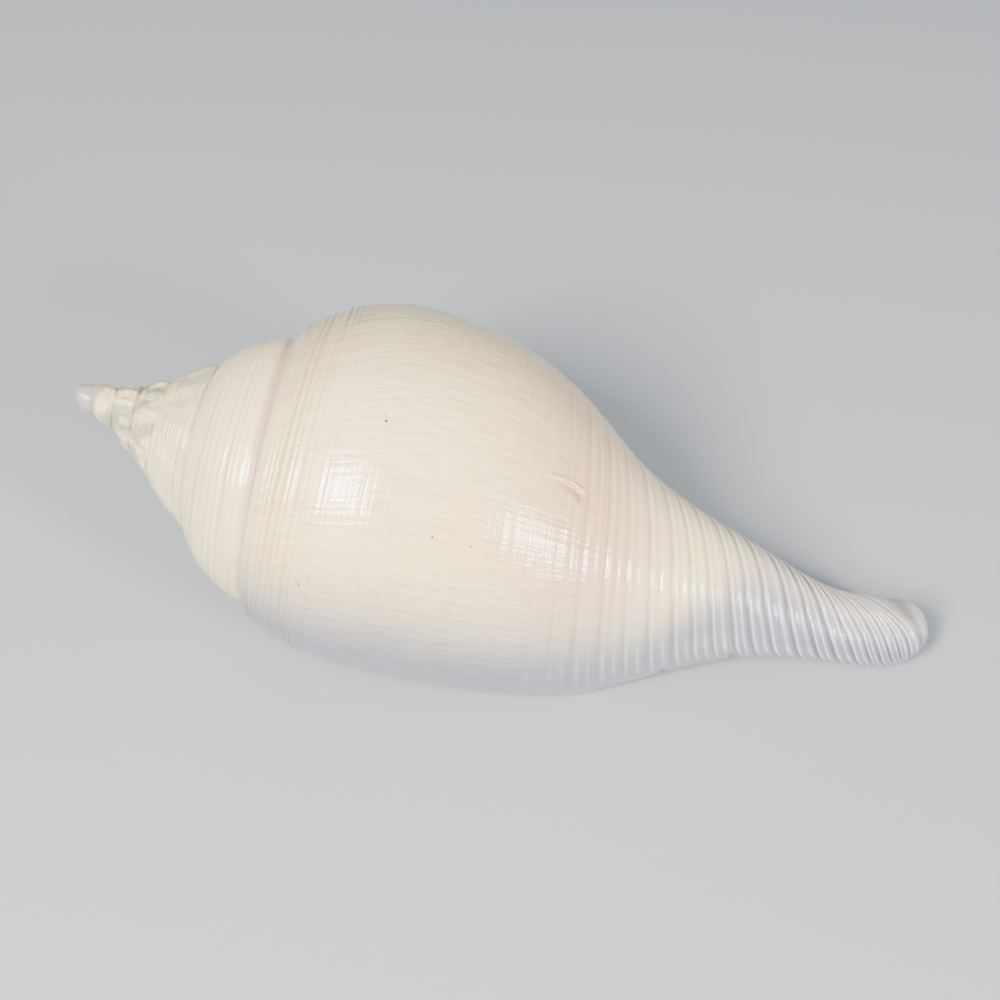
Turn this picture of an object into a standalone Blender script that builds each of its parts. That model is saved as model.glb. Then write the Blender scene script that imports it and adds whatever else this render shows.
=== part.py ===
"""Dextral spindle shell with a low spire, a swollen body whorl and an open canal.

One closed solid.  It is modelled along its own axis, apex at x = 0 and canal end at
x = 119.5 mm, and then laid down the way the empty shell comes to rest on a table.
Lengths below are in millimetres and become metres when the mesh is written.
"""
import math

import bpy
import numpy as np

MM = 0.001

# How finely the surface is divided.
STEPS_PER_TURN = 30
TURNS = 6.6
SPIRE_COLUMNS = 6
SHOULDER_COLUMNS = 8
CAVITY_ROWS = 9

# Where the upper edge of the whorl (the suture) lies, counted in turns back from the lip:
# turns back, distance from the apex, radius.
SUTURE = [
    (-0.25, 31.4, 22.3), (0.0, 30.9, 20.5), (0.125, 30.7, 19.5), (0.25, 29.5, 18.6),
    (0.375, 28.0, 17.6), (0.5, 26.8, 16.5), (0.75, 24.1, 14.6), (0.875, 22.8, 13.8),
    (1.0, 21.4, 13.0), (1.25, 19.3, 11.8), (1.5, 17.8, 10.9), (2.0, 14.2, 7.9),
    (2.5, 12.2, 6.2), (3.0, 10.4, 5.0), (3.5, 8.7, 4.1), (4.0, 7.0, 3.2), (4.5, 5.3, 2.45),
    (5.0, 3.5, 1.95), (5.5, 2.0, 1.75), (6.0, 0.9, 1.4), (6.5, 0.3, 0.8), (7.0, 0.05, 0.3),
]

# How far a spire whorl swells beyond the straight line between its two sutures,
# as a share of that line.
WHORL_SWELL = [(1.0, 0.11), (1.5, 0.09), (2.0, 0.03), (3.0, 0.01), (4.0, 0.03),
               (5.0, 0.06), (6.0, 0.09), (7.0, 0.12)]

# Outline of the last whorl on its five sides: distance from the apex, radius.
LIP_SIDE = [
    (30.9, 20.5), (32.0, 21.7), (33.8, 22.6), (37.3, 23.5), (40.8, 24.0), (44.3, 24.2),
    (50.9, 24.0), (57.5, 23.2), (63.9, 22.2), (70.3, 20.8), (74.9, 19.4), (77.9, 18.1),
    (80.8, 16.4), (83.7, 14.7), (86.5, 12.9), (89.4, 11.2), (92.3, 9.6), (95.5, 8.0),
    (99.7, 6.5), (104.0, 5.4), (108.0, 4.9), (112.0, 4.8), (114.5, 4.8), (116.5, 4.3),
    (118.2, 3.3), (119.5, 1.2),
]
BACK_SIDE = [
    (29.5, 18.6), (30.9, 20.4), (33.4, 22.2), (36.5, 23.5), (41.0, 24.5), (45.0, 24.8),
    (51.0, 24.6), (57.0, 23.8), (63.0, 22.2), (68.0, 20.2), (72.5, 18.0), (77.0, 15.6),
    (81.5, 13.3), (86.0, 11.2), (90.0, 9.6), (94.0, 8.2), (98.0, 7.0), (102.0, 5.9),
    (105.0, 5.2), (108.5, 4.85), (112.0, 4.9), (114.8, 4.8), (116.6, 4.3), (118.2, 3.3),
    (119.5, 1.2),
]
TOP_SIDE = [
    (26.8, 16.5), (27.9, 18.4), (30.5, 20.5), (33.3, 22.4), (37.0, 24.0), (41.0, 25.0),
    (44.3, 25.2), (47.7, 25.1), (51.2, 24.8), (54.8, 24.2), (58.4, 23.2), (62.3, 21.7),
    (66.3, 19.6), (70.6, 16.7), (74.9, 13.9), (78.8, 12.0), (82.7, 10.6), (86.4, 9.5),
    (90.0, 8.6), (93.7, 7.7), (97.4, 6.7), (101.0, 5.8), (104.6, 5.1), (108.0, 4.8),
    (112.0, 4.9), (114.8, 4.9), (116.6, 4.4), (118.2, 3.4), (119.5, 1.2),
]
FRONT_SIDE = [
    (24.1, 14.6), (25.8, 16.9), (29.0, 19.4), (33.0, 21.3), (37.0, 22.3), (41.0, 22.6),
    (45.0, 22.3), (50.0, 21.0), (55.0, 19.0), (60.0, 16.5), (65.0, 13.9), (70.0, 11.8),
    (75.0, 10.2), (80.0, 9.0), (86.0, 7.9), (92.0, 7.0), (98.0, 6.1), (104.0, 5.2),
    (108.0, 4.8), (112.0, 4.75), (114.8, 4.7), (116.6, 4.2), (118.2, 3.2), (119.4, 1.1),
]
PILLAR_SIDE = [
    (22.8, 13.8), (24.6, 16.0), (28.0, 18.8), (32.0, 20.5), (36.0, 21.0), (40.0, 20.4),
    (45.0, 18.5), (50.0, 15.8), (55.0, 13.0), (60.0, 10.7), (65.0, 9.0), (70.0, 7.8),
    (75.0, 7.0), (80.0, 6.3), (90.0, 5.3), (100.0, 4.5), (108.0, 4.0), (114.0, 3.8),
    (117.0, 3.0), (119.2, 0.9),
]
SIDES = [(0.0, LIP_SIDE), (0.25, BACK_SIDE), (0.5, TOP_SIDE), (0.75, FRONT_SIDE),
         (0.875, PILLAR_SIDE)]

# The same spiral line met on five sides and on the pillar.  A line is named by about where
# it lies on the top side.  It drifts towards the canal end as the shell grows, and the last lines
# fan out over the end of the canal.
LINE_NAMES = (26.7, 36.5, 50.0, 60.0, 70.0, 78.3, 92.3, 100.5, 104.9, 107.7, 110.4, 119.5)
LINE_PATHS = [
    (0.0, (30.9, 42.5, 59.0, 71.0, 82.3, 90.3, 103.2, 111.0, 116.0, 118.3, 119.1, 119.5)),
    (0.25, (29.5, 39.8, 54.5, 65.7, 76.4, 84.6, 97.7, 105.6, 110.4, 113.2, 116.4, 119.5)),
    (0.5, (26.8, 36.5, 50.0, 60.0, 70.0, 78.3, 92.3, 100.5, 104.2, 106.2, 107.9, 119.5)),
    (0.75, (24.1, 33.7, 46.0, 55.0, 64.2, 72.2, 86.5, 95.0, 100.0, 104.0, 107.5, 119.4)),
    (0.875, (22.8, 32.3, 44.2, 52.8, 61.6, 69.5, 83.8, 92.4, 97.5, 101.5, 105.5, 119.2)),
    (1.0, (21.4, 30.9, 42.5, 50.8, 59.2, 67.0, 81.0, 89.8, 95.0, 99.0, 103.5, 118.8)),
]
PILLAR_START = 30.9
PILLAR_END = 118.8
SUTURE_LINE = 26.7
NEXT_SUTURE_LINE = 36.5
END_LINE = 119.5

# The pillar in the middle of the last whorl: its radius, and how the wall of the
# whorl before falls away to it.
PILLAR_RADIUS = [(20.0, 6.0), (55.0, 6.0), (65.0, 5.6), (75.0, 4.7), (85.0, 3.6),
                 (95.0, 2.4), (103.0, 1.5), (110.0, 1.0), (115.0, 0.8), (118.8, 0.6)]
WALL_FALL = [(0.0, 1.0), (1.5, 1.02), (3.5, 1.0), (6.0, 0.94), (10.0, 0.79), (15.0, 0.58),
             (20.0, 0.37), (25.0, 0.2), (30.0, 0.09), (36.0, 0.02), (42.0, 0.0), (110.0, 0.0)]

# Spiral cords of the base and canal: how many lie between the first one and a line,
# and how high they stand.
CORD_START = 62.0
CORD_COUNT = [(CORD_START, 0.0), (80.0, 6.2), (100.5, 13.4), (104.9, 15.6), (107.7, 17.2),
              (110.4, 18.6), (119.5, 22.0)]
CORD_HEIGHT = [(CORD_START, 0.0), (68.0, 0.1), (78.0, 0.18), (90.0, 0.25), (108.0, 0.28),
               (111.0, 0.22), (115.0, 0.06), (119.5, 0.0)]

# Oblique folds on the pillar.
FOLD_LINES = (68.0, 73.2, 78.2)
FOLD_HEIGHTS = (0.9, 1.0, 0.7)
FOLD_WIDTH = 1.25

# The growing edge of the lip, as degrees around the axis for each spiral line.
LIP_ANGLE = [(26.7, 197.0), (30.0, 191.0), (36.0, 185.0), (44.0, 180.0), (60.0, 178.0),
             (72.0, 176.0), (80.0, 171.0), (86.0, 168.0), (93.0, 171.0), (100.0, 178.0),
             (106.0, 185.0), (112.0, 190.0), (119.5, 192.0)]
LIP_ANGLE_AT_SUTURE = 197.0

# Wall thickness at the edge, inside, and on the canal.
EDGE_WALL = 1.3
INNER_WALL = 2.6
CANAL_EDGE_WALL = 1.1
CANAL_WALL = 1.5

# How deep the hollow reaches, in turns, for each distance from the apex.
HOLLOW_DEPTH = [(20.0, 0.7), (74.0, 0.7), (84.0, 0.42), (92.0, 0.22), (100.0, 0.17),
                (119.5, 0.15)]
HOLLOW_START_LINE = 39.2

# The axis isn't quite straight: the spire leans one way and the canal end the other.
AXIS_BEND = [(0.0, 0.4), (4.0, 0.15), (10.0, -0.4), (18.0, -0.75), (26.0, -0.35), (34.0, 0.0),
             (102.0, 0.0), (106.0, 0.15), (110.0, 0.7), (114.0, 1.4), (117.0, 2.0),
             (119.5, 2.3)]

# The spire's whorls are tipped a little, so one side sits nearer the canal.
SPIRE_LEAN = [(0.0, 0.05), (16.0, 0.05), (27.0, 0.01), (34.0, 0.0), (120.0, 0.0)]

# How the empty shell lies: which side faces the table, as an angle around the axis,
# and how far the canal end dips below the spire.
REST_SIDE = 228.2
REST_DIP = 13.3


def curve(table, x):
    """Smooth line through a short table, straight on beyond its ends."""
    xs = np.array([row[0] for row in table], float)
    ys = np.array([row[1] for row in table], float)
    return curve_through(xs, ys, x)


def curve_through(xs, ys, x):
    step = np.diff(xs)
    slope = np.diff(ys) / step
    tangent = np.zeros(len(xs))
    tangent[0] = slope[0]
    tangent[-1] = slope[-1]
    same_way = slope[:-1] * slope[1:] > 0
    with np.errstate(divide="ignore", invalid="ignore"):
        first = 2 * step[1:] + step[:-1]
        second = step[1:] + 2 * step[:-1]
        mean = (first + second) / (first / slope[:-1] + second / slope[1:])
    tangent[1:-1] = np.where(same_way, mean, 0.0)
    x = np.asarray(x, float)
    k = np.clip(np.searchsorted(xs, x, side="right") - 1, 0, len(xs) - 2)
    h = step[k]
    t = np.clip((x - xs[k]) / h, 0.0, 1.0)
    value = (ys[k] * (1 + 2 * t) * (1 - t) ** 2 + tangent[k] * h * t * (1 - t) ** 2
             + ys[k + 1] * t * t * (3 - 2 * t) - tangent[k + 1] * h * t * t * (1 - t))
    below = np.minimum(x - xs[0], 0.0) * tangent[0]
    above = np.maximum(x - xs[-1], 0.0) * tangent[-1]
    return value + below + above


def suture(turn):
    along = curve([(t, u) for t, u, r in SUTURE], turn)
    radius = curve([(t, r) for t, u, r in SUTURE], turn)
    return along, radius


def spire_profile(turn, share):
    """Point on a spire whorl, share 0 at its upper suture and 1 at the lower one."""
    upper_u, upper_r = suture(turn)
    lower_u, lower_r = suture(turn - 1.0)
    du = lower_u - upper_u
    dr = lower_r - upper_r
    chord = np.hypot(du, dr)
    swell = curve(WHORL_SWELL, turn) * chord
    bulge = swell * 4.3 * share * (1 - share) * (1.25 - 0.5 * share)
    return (upper_u + du * share - dr / chord * bulge,
            upper_r + dr * share + du / chord * bulge)


def pillar_profile(turn, line):
    """Wall of the whorl before, from the suture down to the pillar and the canal."""
    start_u, start_r = suture(turn - 1.0)
    at_one = curve_through(np.array(LINE_NAMES), np.array(LINE_PATHS[-1][1]), line)
    reach = (PILLAR_END - start_u) / (PILLAR_END - PILLAR_START)
    along = start_u + (at_one - PILLAR_START) * reach
    shrink = 0.64 ** (turn - 1.0)
    rod = curve(PILLAR_RADIUS, along)
    fall = curve(WALL_FALL, (along - start_u) / shrink)
    return along, rod + (start_r - curve(PILLAR_RADIUS, start_u)) * fall


def before_last(turn, line):
    """Section of the shell one turn or more behind the lip."""
    share = (line - SUTURE_LINE) / (NEXT_SUTURE_LINE - SUTURE_LINE)
    inside = share > 1.0
    spire_u, spire_r = spire_profile(turn, np.clip(share, 0.0, 1.0))
    wall_u, wall_r = pillar_profile(turn, np.maximum(line, NEXT_SUTURE_LINE))
    return np.where(inside, wall_u, spire_u), np.where(inside, wall_r, spire_r)


def station(turn, line):
    """Section of the last whorl on one of its measured sides."""
    for known, outline in SIDES:
        if abs(known - turn) < 1e-6:
            path = [p for t, p in LINE_PATHS if abs(t - turn) < 1e-6][0]
            along = curve_through(np.array(LINE_NAMES), np.array(path), line)
            return along, curve(outline, along)
    return before_last(turn, line)


def section(turn, line):
    """Distance along the axis and radius of any point of the outer surface."""
    turn, line = np.broadcast_arrays(np.asarray(turn, float), np.asarray(line, float))
    turn = turn.copy()
    line = line.copy()
    old_u, old_r = before_last(np.maximum(turn, 1.0), line)
    knots = np.array([0.0, 0.25, 0.5, 0.75, 0.875, 1.0, 1.125])
    us = []
    rs = []
    for knot in knots:
        u, r = station(knot, line)
        us.append(u)
        rs.append(r)
    us = np.array(us)
    rs = np.array(rs)
    k = np.clip(np.searchsorted(knots, turn, side="right") - 1, 0, 4)
    new = []
    for values in (us, rs):
        gaps = np.diff(knots)
        slopes = np.diff(values, axis=0) / gaps.reshape((-1,) + (1,) * (values.ndim - 1))
        tangents = np.empty_like(values)
        tangents[0] = slopes[0]
        tangents[-1] = slopes[-1]
        for n in range(1, len(knots) - 1):
            tangents[n] = ((slopes[n - 1] * gaps[n] + slopes[n] * gaps[n - 1])
                           / (gaps[n - 1] + gaps[n]))
        h = gaps[k]
        raw = (turn - knots[k]) / h
        t = np.clip(raw, 0.0, 1.0)
        a = np.take_along_axis(values, k[None], 0)[0]
        b = np.take_along_axis(values, k[None] + 1, 0)[0]
        ta = np.take_along_axis(tangents, k[None], 0)[0]
        tb = np.take_along_axis(tangents, k[None] + 1, 0)[0]
        value = (a * (1 + 2 * t) * (1 - t) ** 2 + ta * h * t * (1 - t) ** 2
                 + b * t * t * (3 - 2 * t) - tb * h * t * t * (1 - t))
        value = value + np.minimum(raw, 0.0) * h * ta
        new.append(value)
    last = turn < 1.0
    return np.where(last, new[0], old_u), np.where(last, new[1], old_r)


def cord_relief(turn, line):
    """Broad flat-topped cords with a narrow groove between each two."""
    phase = curve(CORD_COUNT, line)
    groove = (0.5 + 0.5 * np.cos(2 * np.pi * phase)) ** 1.5
    height = curve(CORD_HEIGHT, line) * (line > CORD_START)
    inside = np.clip((turn - 0.8) / 0.1, 0.0, 1.0)
    return height * (0.3 - groove) * (1 - inside)


def fold_relief(turn, line):
    """Height of the oblique folds on the pillar inside the mouth."""
    seen = np.clip((turn - 0.84) / 0.12, 0.0, 1.0)
    seen = seen * seen * (3 - 2 * seen)
    total = np.zeros(np.broadcast(turn, line).shape)
    for centre, height in zip(FOLD_LINES, FOLD_HEIGHTS):
        total = total + height * np.exp(-((line - centre) / FOLD_WIDTH) ** 2)
    return total * seen


def place(turn, along, radius):
    """Point in the shell's own frame from turns back, distance along and radius."""
    angle = math.pi - 2 * math.pi * np.asarray(turn, float)
    across = radius * np.cos(angle)
    x = along + across * curve(SPIRE_LEAN, along)
    y = across + curve(AXIS_BEND, along)
    z = radius * np.sin(angle)
    return np.stack(np.broadcast_arrays(x, y, z), axis=-1)


def outer(turn, line):
    along, radius = section(turn, line)
    radius = radius + cord_relief(turn, line) + fold_relief(turn, line)
    return place(turn, along, radius)


def wall(turn, depth, line):
    """Wall thickness: thin at the growing edge, thicker inside, thinner on the canal."""
    canal = np.clip((line - 80.0) / 20.0, 0.0, 1.0)
    edge = EDGE_WALL + (CANAL_EDGE_WALL - EDGE_WALL) * canal
    full = INNER_WALL + (CANAL_WALL - INNER_WALL) * canal
    return edge + (full - edge) * (1 - np.exp(-depth / 0.03))


def inner(turn, depth, line, closing):
    """Inner face of the outer wall, kept clear of the pillar."""
    along, radius = section(turn, line)
    ahead_u, ahead_r = section(turn, line + 0.4)
    behind_u, behind_r = section(turn, line - 0.4)
    du = ahead_u - behind_u
    dr = ahead_r - behind_r
    size = np.hypot(du, dr)
    thick = wall(turn, depth, line)
    in_u = along + dr / size * thick
    in_u = np.minimum(in_u, along + 0.6)
    in_u = np.where(line > 112.0, along, in_u)
    in_r = radius - du / size * thick
    in_r = np.where(line > 112.0, radius - np.minimum(thick, radius * 0.3), in_r)
    lines = np.linspace(NEXT_SUTURE_LINE, END_LINE, 160)
    result = np.empty_like(in_r)
    for index in np.ndindex(in_r.shape):
        wall_u, wall_r = before_last(np.full(lines.shape, max(turn[index] + 1.0, 1.0)), lines)
        pillar = np.interp(in_u[index], wall_u, wall_r)
        start = np.clip((line[index] - SUTURE_LINE) / 8.0, 0.0, 1.0)
        least = 0.3 + 0.7 * start
        if line[index] > 100.0:
            least = 0.25
        gap = max(in_r[index] - pillar, least)
        result[index] = pillar + gap * (1 - 0.3 * closing[index])
    return place(turn, in_u, result)


def zip_rows(first, second, points):
    """Triangles between two chains of vertices, always taking the shorter crossing."""
    faces = []
    a = 0
    b = 0
    while a < len(first) - 1 or b < len(second) - 1:
        if b == len(second) - 1:
            take_first = True
        elif a == len(first) - 1:
            take_first = False
        else:
            one = np.linalg.norm(points[first[a + 1]] - points[second[b]])
            two = np.linalg.norm(points[first[a]] - points[second[b + 1]])
            take_first = one <= two
        if take_first:
            corner = (first[a], first[a + 1], second[b])
            a += 1
        else:
            corner = (first[a], second[b + 1], second[b])
            b += 1
        if len(set(corner)) == 3:
            faces.append(corner)
    return faces


def column_lines():
    """Names of the spiral lines that carry the columns of the mesh."""
    lines = list(np.linspace(SUTURE_LINE, NEXT_SUTURE_LINE, SPIRE_COLUMNS + 1))
    lines += list(np.linspace(NEXT_SUTURE_LINE, CORD_START, SHOULDER_COLUMNS + 1)[1:])
    fine = np.linspace(CORD_START, END_LINE, 2000)
    counts = curve(CORD_COUNT, fine)
    for third in range(1, 3 * int(counts[-1])):
        lines.append(float(np.interp(third / 3.0, counts, fine)))
    lines.append(END_LINE)
    return np.array(lines)


def build_shell():
    lines = column_lines()
    last = len(lines) - 1
    steps = STEPS_PER_TURN
    total_rows = int(round(TURNS * steps))
    suture_shift = (LIP_ANGLE_AT_SUTURE - 180.0) / 360.0
    points = []
    number = {}

    def add(point):
        points.append(np.array(point, float))
        return len(points) - 1

    def vertex(i, j):
        if i >= steps and j == SPIRE_COLUMNS:
            return number[(i - steps, 0)]
        return number[(i, j)]

    retreat = (LIP_ANGLE_AT_SUTURE - curve(LIP_ANGLE, lines)) / 360.0
    for i in range(total_rows + 1):
        fade = max(0.0, 1 - i / (0.4 * steps)) ** 2
        turn = i / steps - suture_shift + retreat * fade
        if i <= steps:
            row = outer(turn, lines)
            columns = range(last + 1)
        else:
            row = outer(turn[:SPIRE_COLUMNS + 1], lines[:SPIRE_COLUMNS + 1])
            columns = range(SPIRE_COLUMNS)
        for j in columns:
            if i >= steps and j == SPIRE_COLUMNS:
                continue
            number[(i, j)] = add(row[j])

    faces = []
    for i in range(total_rows):
        width = last if i < steps else SPIRE_COLUMNS
        for j in range(width):
            corner = (vertex(i, j), vertex(i, j + 1), vertex(i + 1, j + 1), vertex(i + 1, j))
            faces.append((corner[0], corner[1], corner[2]))
            faces.append((corner[0], corner[2], corner[3]))

    # Apex: the first turn closes round one point.
    rim = [vertex(i, 0) for i in range(total_rows - steps, total_rows + 1)]
    rim += [vertex(total_rows, j) for j in range(1, SPIRE_COLUMNS)]
    middle = add((0.05, 0.0, 0.0))
    for a, b in zip(rim, rim[1:] + rim[:1]):
        faces.append((a, b, middle))

    # Hollow of the last whorl.
    begin = int(np.searchsorted(lines, HOLLOW_START_LINE))
    pillar_columns = [begin] + list(range(begin + 1, last, 2)) + [last]
    inner_lines = np.concatenate([
        np.linspace(29.5, 36.0, 4), np.linspace(39.0, 62.0, 8), lines[lines > 63.0][::2]])
    if inner_lines[-1] < END_LINE:
        inner_lines = np.append(inner_lines, END_LINE)
    inner_retreat = (LIP_ANGLE_AT_SUTURE - curve(LIP_ANGLE, inner_lines)) / 360.0
    inner_start = inner_retreat - suture_shift
    inner_edge_u, inner_edge_r = section(inner_start, inner_lines)
    inner_depth = curve(HOLLOW_DEPTH, inner_edge_u)
    pillar_lines = lines[pillar_columns]
    pillar_edge_u, pillar_edge_r = section(np.full(len(pillar_lines), 1.0), pillar_lines)
    pillar_depth = curve(HOLLOW_DEPTH, pillar_edge_u)
    inner_rows = []
    pillar_rows = []
    for k in range(CAVITY_ROWS + 1):
        part = (k / CAVITY_ROWS) ** 1.3
        closing = max(0.0, (part - 0.7) / 0.3) ** 2
        if k == 0:
            pillar_row = [vertex(steps, j) for j in range(begin, last + 1)]
        else:
            turn = 1.0 - suture_shift + pillar_depth * part
            row = outer(turn, pillar_lines)
            pillar_row = [add(point) for point in row]
        depth = inner_depth * part
        turn = inner_start + depth
        row = inner(turn, depth, inner_lines, np.full(len(inner_lines), closing))
        inner_row = [pillar_row[0]] + [add(point) for point in row]
        inner_rows.append(inner_row)
        pillar_rows.append(pillar_row)
    table = np.array(points)
    for k in range(CAVITY_ROWS):
        faces += zip_rows(inner_rows[k + 1], inner_rows[k], table)
        faces += zip_rows(pillar_rows[k], pillar_rows[k + 1], table)
    faces += zip_rows(pillar_rows[-1], inner_rows[-1], table)

    # Rounded edge of the lip.
    outer_edge = [vertex(0, j) for j in range(last + 1)]
    inner_edge = [vertex(steps, j) for j in range(SPIRE_COLUMNS, begin)] + inner_rows[0]
    middle_edge = [outer_edge[0]]
    for j in range(1, last + 1):
        own = table[outer_edge[j]]
        other = min((table[n] for n in inner_rows[0]), key=lambda p: np.linalg.norm(p - own))
        forward = np.cross((1.0, 0.0, 0.0), own)
        forward = forward / np.linalg.norm(forward)
        middle_edge.append(add((own + other) / 2 + 0.45 * forward))
    table = np.array(points)
    faces += zip_rows(middle_edge, outer_edge, table)
    faces += zip_rows(inner_edge, middle_edge, table)

    # End of the canal.
    ring = [vertex(i, last) for i in range(steps + 1)]
    groove = [middle_edge[-1]] + [row[-1] for row in inner_rows]
    groove += [row[-1] for row in reversed(pillar_rows)]
    faces += zip_rows(groove, ring, table)
    return table, faces


def lay_down(points):
    """Turn the shell the way it rests and set its box over the origin."""
    roll = math.radians(270.0 - REST_SIDE)
    dip = math.radians(REST_DIP)
    x, y, z = points.T
    turned_y = y * math.cos(roll) - z * math.sin(roll)
    turned_z = y * math.sin(roll) + z * math.cos(roll)
    laid = np.stack([x * math.cos(dip) + turned_z * math.sin(dip), turned_y,
                     turned_z * math.cos(dip) - x * math.sin(dip)], axis=-1)
    low = laid.min(axis=0)
    high = laid.max(axis=0)
    return laid - np.array([(low[0] + high[0]) / 2, (low[1] + high[1]) / 2, low[2]])


def paint(shape):
    """Pale cream, glossy, like the outside of the shell."""
    material = bpy.data.materials.new("shell")
    material.use_nodes = True
    surface = material.node_tree.nodes["Principled BSDF"]
    surface.inputs["Base Color"].default_value = (0.80, 0.75, 0.66, 1.0)
    surface.inputs["Roughness"].default_value = 0.38
    surface.inputs["Metallic"].default_value = 0.0
    material.diffuse_color = (0.80, 0.75, 0.66, 1.0)
    shape.materials.append(material)


for leftover in list(bpy.data.objects):
    bpy.data.objects.remove(leftover)

points, faces = build_shell()
points = lay_down(points) * MM
shape = bpy.data.meshes.new("shell")
shape.from_pydata([tuple(point) for point in points], [], faces)
shape.update()
paint(shape)
shell = bpy.data.objects.new("shell", shape)
bpy.context.scene.collection.objects.link(shell)
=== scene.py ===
"""Looks of the spindle shell: its surface at full detail, its finish, the floor, light and camera.

The shell stands in for the plain solid of the frame.  It is grown by the same rules as that
solid, on a finer mesh that carries the spiral cords, threads, growth lines and marks.
The shell's lengths are in millimetres until its mesh is written in metres.  The floor and
the lights are in metres.
"""
import math

import bpy
import numpy as np
from mathutils import Matrix, Vector


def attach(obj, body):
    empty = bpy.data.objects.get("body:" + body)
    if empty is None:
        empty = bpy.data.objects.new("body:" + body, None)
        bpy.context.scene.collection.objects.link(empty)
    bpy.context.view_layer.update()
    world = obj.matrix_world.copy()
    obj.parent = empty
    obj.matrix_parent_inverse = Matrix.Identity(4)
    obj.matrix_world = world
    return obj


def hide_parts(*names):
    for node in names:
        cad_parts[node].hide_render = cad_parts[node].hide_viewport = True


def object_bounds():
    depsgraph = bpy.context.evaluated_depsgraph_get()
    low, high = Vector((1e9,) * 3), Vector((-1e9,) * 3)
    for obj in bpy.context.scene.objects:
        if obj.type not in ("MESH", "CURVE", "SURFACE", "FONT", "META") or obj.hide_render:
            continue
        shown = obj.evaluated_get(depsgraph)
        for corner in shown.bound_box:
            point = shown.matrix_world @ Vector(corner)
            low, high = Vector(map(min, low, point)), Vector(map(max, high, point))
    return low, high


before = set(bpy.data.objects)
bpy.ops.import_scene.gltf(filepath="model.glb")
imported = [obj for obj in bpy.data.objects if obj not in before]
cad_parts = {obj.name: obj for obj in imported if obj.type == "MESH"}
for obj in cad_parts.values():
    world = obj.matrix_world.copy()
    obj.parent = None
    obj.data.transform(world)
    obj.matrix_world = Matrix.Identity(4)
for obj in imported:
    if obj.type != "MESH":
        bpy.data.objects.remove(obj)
cad_box = [list(corner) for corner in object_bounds()]

MM = 0.001

# How finely the surface is divided: along the whorl, across it, in the hollow and over the
# lip edge.
STEPS_PER_TURN = 120
TURNS = 6.6
SPIRE_COLUMNS = 48
SHOULDER_COLUMNS = 60
COLUMNS_PER_CORD = 12
CAVITY_ROWS = 22
EDGE_ROWS = 5

# Line up to which the columns lie evenly.  Beyond it they follow the cords.
SHOULDER_END = 62.0

# Length that one turn is given in the spiral address.
TURN_LENGTH = 150.0

# Which part of the shell a vertex belongs to.
OUTSIDE = 0
INSIDE = 1
PILLAR = 2
EDGE = 3

# The suture, which is the upper edge of the whorl: turns back from the lip, distance from
# the apex, radius.
SUTURE = [
    (-0.25, 31.4, 22.3), (0.0, 30.9, 20.5), (0.125, 30.7, 19.5), (0.25, 29.5, 18.6),
    (0.375, 28.0, 17.6), (0.5, 26.8, 16.5), (0.75, 24.1, 14.6), (0.875, 22.8, 13.8),
    (1.0, 21.4, 13.0), (1.25, 19.3, 11.8), (1.5, 17.8, 10.9), (2.0, 14.2, 7.9),
    (2.5, 12.2, 6.2), (3.0, 10.4, 5.0), (3.5, 8.7, 4.1), (4.0, 7.0, 3.2), (4.5, 5.3, 2.45),
    (5.0, 3.5, 1.95), (5.5, 2.0, 1.75), (6.0, 0.9, 1.4), (6.5, 0.3, 0.8), (7.0, 0.05, 0.3),
]

# How far a spire whorl swells beyond the straight line between its two sutures,
# as a share of that line.
WHORL_SWELL = [(1.0, 0.11), (1.5, 0.09), (2.0, 0.03), (3.0, 0.01), (4.0, 0.03),
               (5.0, 0.06), (6.0, 0.09), (7.0, 0.12)]

# Outline of the last whorl on its five sides: distance from the apex, radius.
LIP_SIDE = [
    (30.9, 20.5), (32.0, 21.7), (33.8, 22.6), (37.3, 23.5), (40.8, 24.0), (44.3, 24.2),
    (50.9, 24.0), (57.5, 23.2), (63.9, 22.2), (70.3, 20.8), (74.9, 19.4), (77.9, 18.1),
    (80.8, 16.4), (83.7, 14.7), (86.5, 12.9), (89.4, 11.2), (92.3, 9.6), (95.5, 8.0),
    (99.7, 6.5), (104.0, 5.4), (108.0, 4.9), (112.0, 4.8), (114.5, 4.8), (116.5, 4.3),
    (118.2, 3.3), (119.5, 1.2),
]
BACK_SIDE = [
    (29.5, 18.6), (30.9, 20.4), (33.4, 22.2), (36.5, 23.5), (41.0, 24.5), (45.0, 24.8),
    (51.0, 24.6), (57.0, 23.8), (63.0, 22.2), (68.0, 20.2), (72.5, 18.0), (77.0, 15.6),
    (81.5, 13.3), (86.0, 11.2), (90.0, 9.6), (94.0, 8.2), (98.0, 7.0), (102.0, 5.9),
    (105.0, 5.2), (108.5, 4.85), (112.0, 4.9), (114.8, 4.8), (116.6, 4.3), (118.2, 3.3),
    (119.5, 1.2),
]
TOP_SIDE = [
    (26.8, 16.5), (27.9, 18.4), (30.5, 20.5), (33.3, 22.4), (37.0, 24.0), (41.0, 25.0),
    (44.3, 25.2), (47.7, 25.1), (51.2, 24.8), (54.8, 24.2), (58.4, 23.2), (62.3, 21.7),
    (66.3, 19.6), (70.6, 16.7), (74.9, 13.9), (78.8, 12.0), (82.7, 10.6), (86.4, 9.5),
    (90.0, 8.6), (93.7, 7.7), (97.4, 6.7), (101.0, 5.8), (104.6, 5.1), (108.0, 4.8),
    (112.0, 4.9), (114.8, 4.9), (116.6, 4.4), (118.2, 3.4), (119.5, 1.2),
]
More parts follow.
